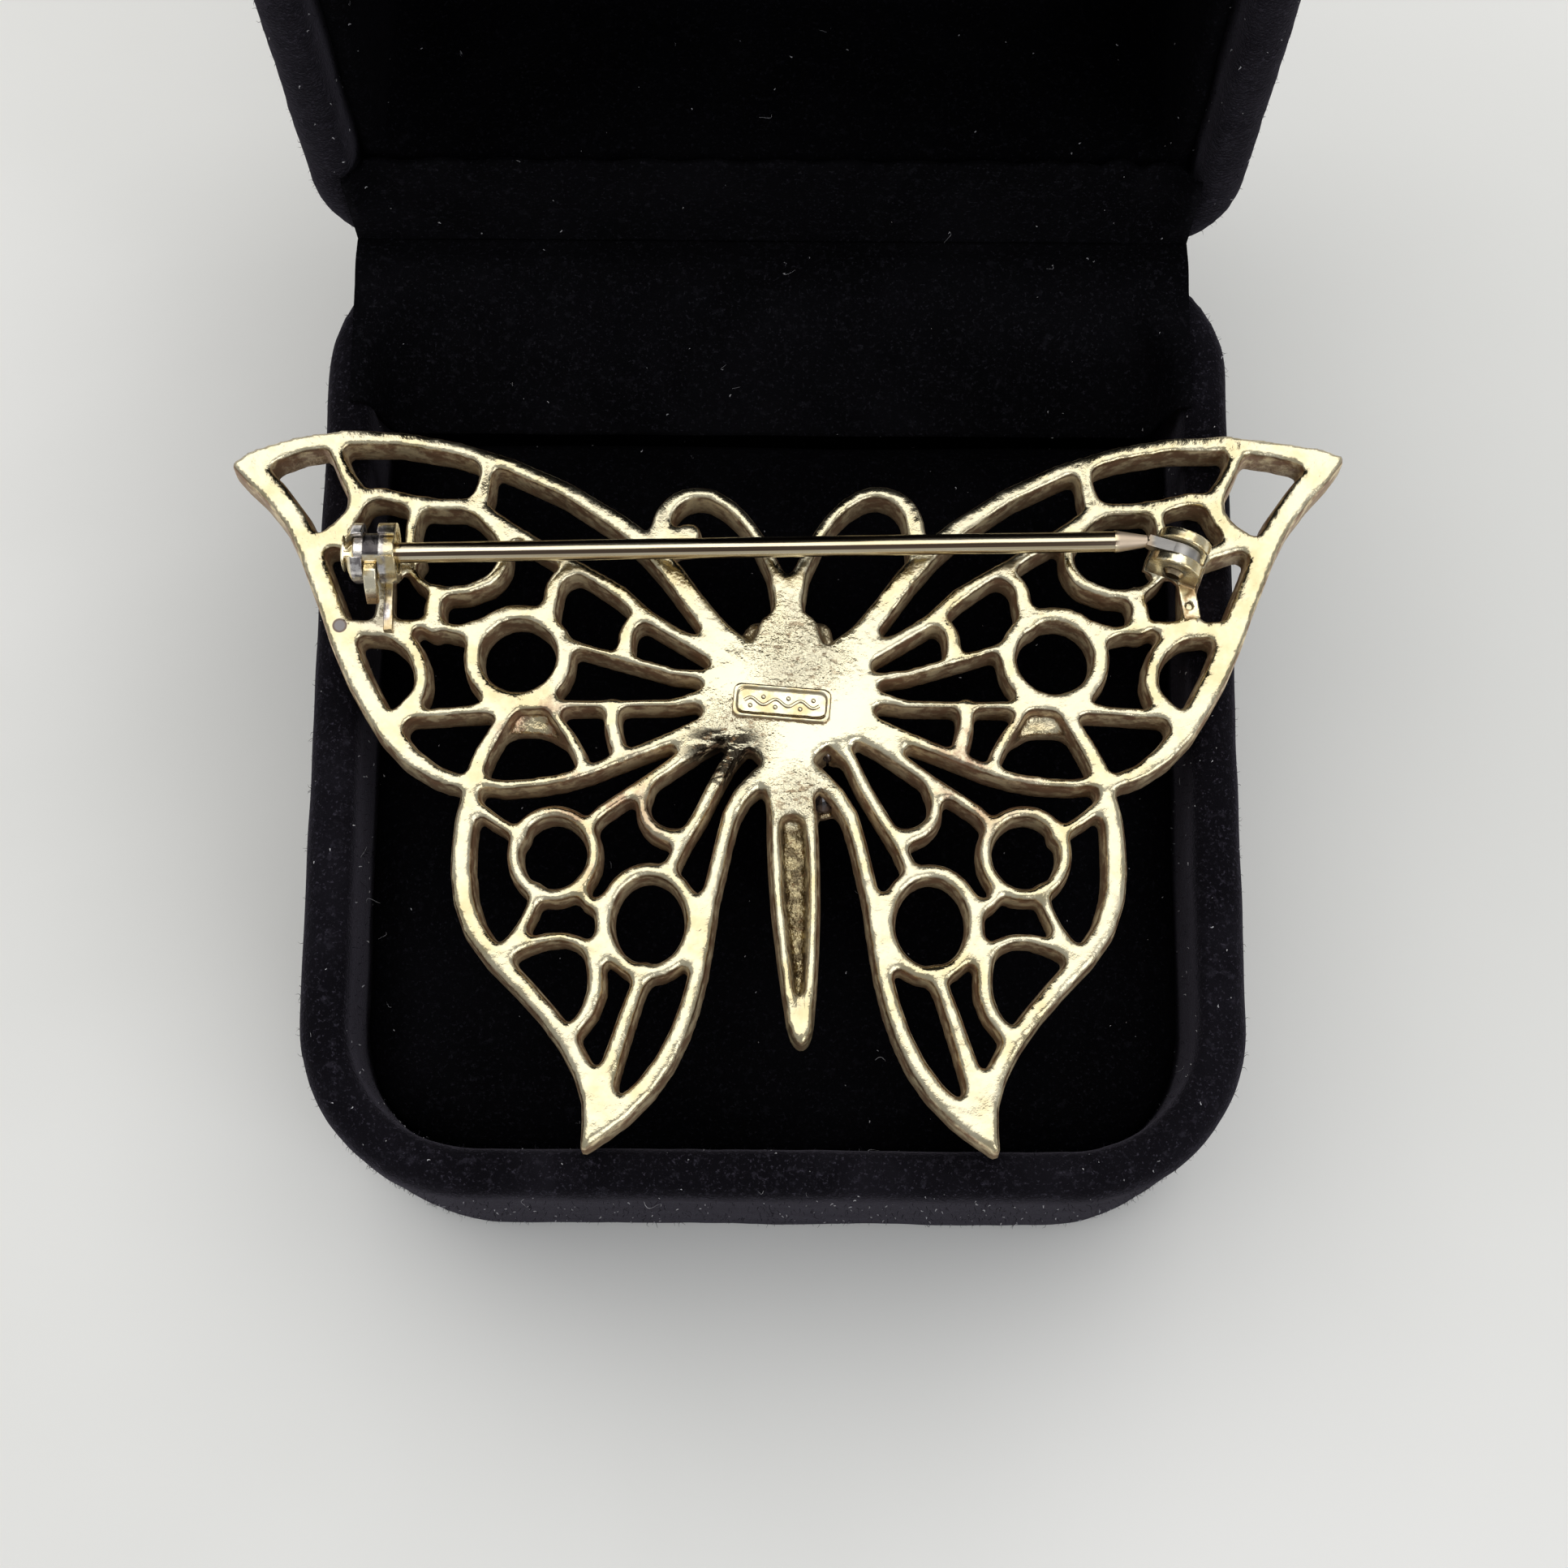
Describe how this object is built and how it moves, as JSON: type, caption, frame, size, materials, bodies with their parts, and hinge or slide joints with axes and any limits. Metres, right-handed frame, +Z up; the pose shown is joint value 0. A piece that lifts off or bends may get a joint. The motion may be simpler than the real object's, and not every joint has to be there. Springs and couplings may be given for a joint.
{
  "type": "butterfly brooch in an open velvet ring box",
  "caption": "Pierced gold butterfly brooch lying face down across its open velvet ring box, with a hinged pin, a roller catch and a hinged lid.",
  "frame": {"origin": "centre of the box's bottom face, which stands on the table", "axes": "+Z up, +Y from the box's front to its hinge and open lid, +X to the right seen from the front"},
  "size_m": [0.0607, 0.0754, 0.0701],
  "materials": {
    "gold": "cast gold, rubbed bright on the back, brown tarnish in the recesses",
    "pin_metal": "drawn gold wire, matt at its taper and tongue",
    "catch_metal": "worn, satin",
    "stone": "faceted, dark from behind",
    "velvet": "short dark velvet with a purple sheen",
    "lining": "black velvet"
  },
  "bodies": {
    "box": {"box_base": "velvet", "box_pad": "lining", "flap_base": "lining", "casting": "gold", "hinge_rivet": "pin_metal", "eye_left": "stone", "eye_right": "stone", "waist_stone": "stone", "side_stone": "stone"},
    "lid": {"box_lid": "velvet", "lid_lining": "lining", "flap_lid": "lining"},
    "pin": {"pin_stem": "pin_metal"},
    "roller": {"catch_roller": "catch_metal"}
  },
  "joints": [
    {"name": "lid_hinge", "type": "hinge", "parent": "box", "child": "lid", "pos_m": [0, 0.02536, 0.01826], "axis": [1, 0, 0], "range_deg": [0, 50]},
    {"name": "pin_hinge", "type": "hinge", "parent": "box", "child": "pin", "pos_m": [0.0216, 0.00719, 0.024], "axis": [0.3529, 0.9357, 0], "range_deg": [0, 55]},
    {"name": "catch_turn", "type": "hinge", "parent": "box", "child": "roller", "pos_m": [-0.02147, 0.00688, 0.02435], "axis": [0.9997, 0.0233, 0], "range_deg": [-180, 0]}
  ]
}
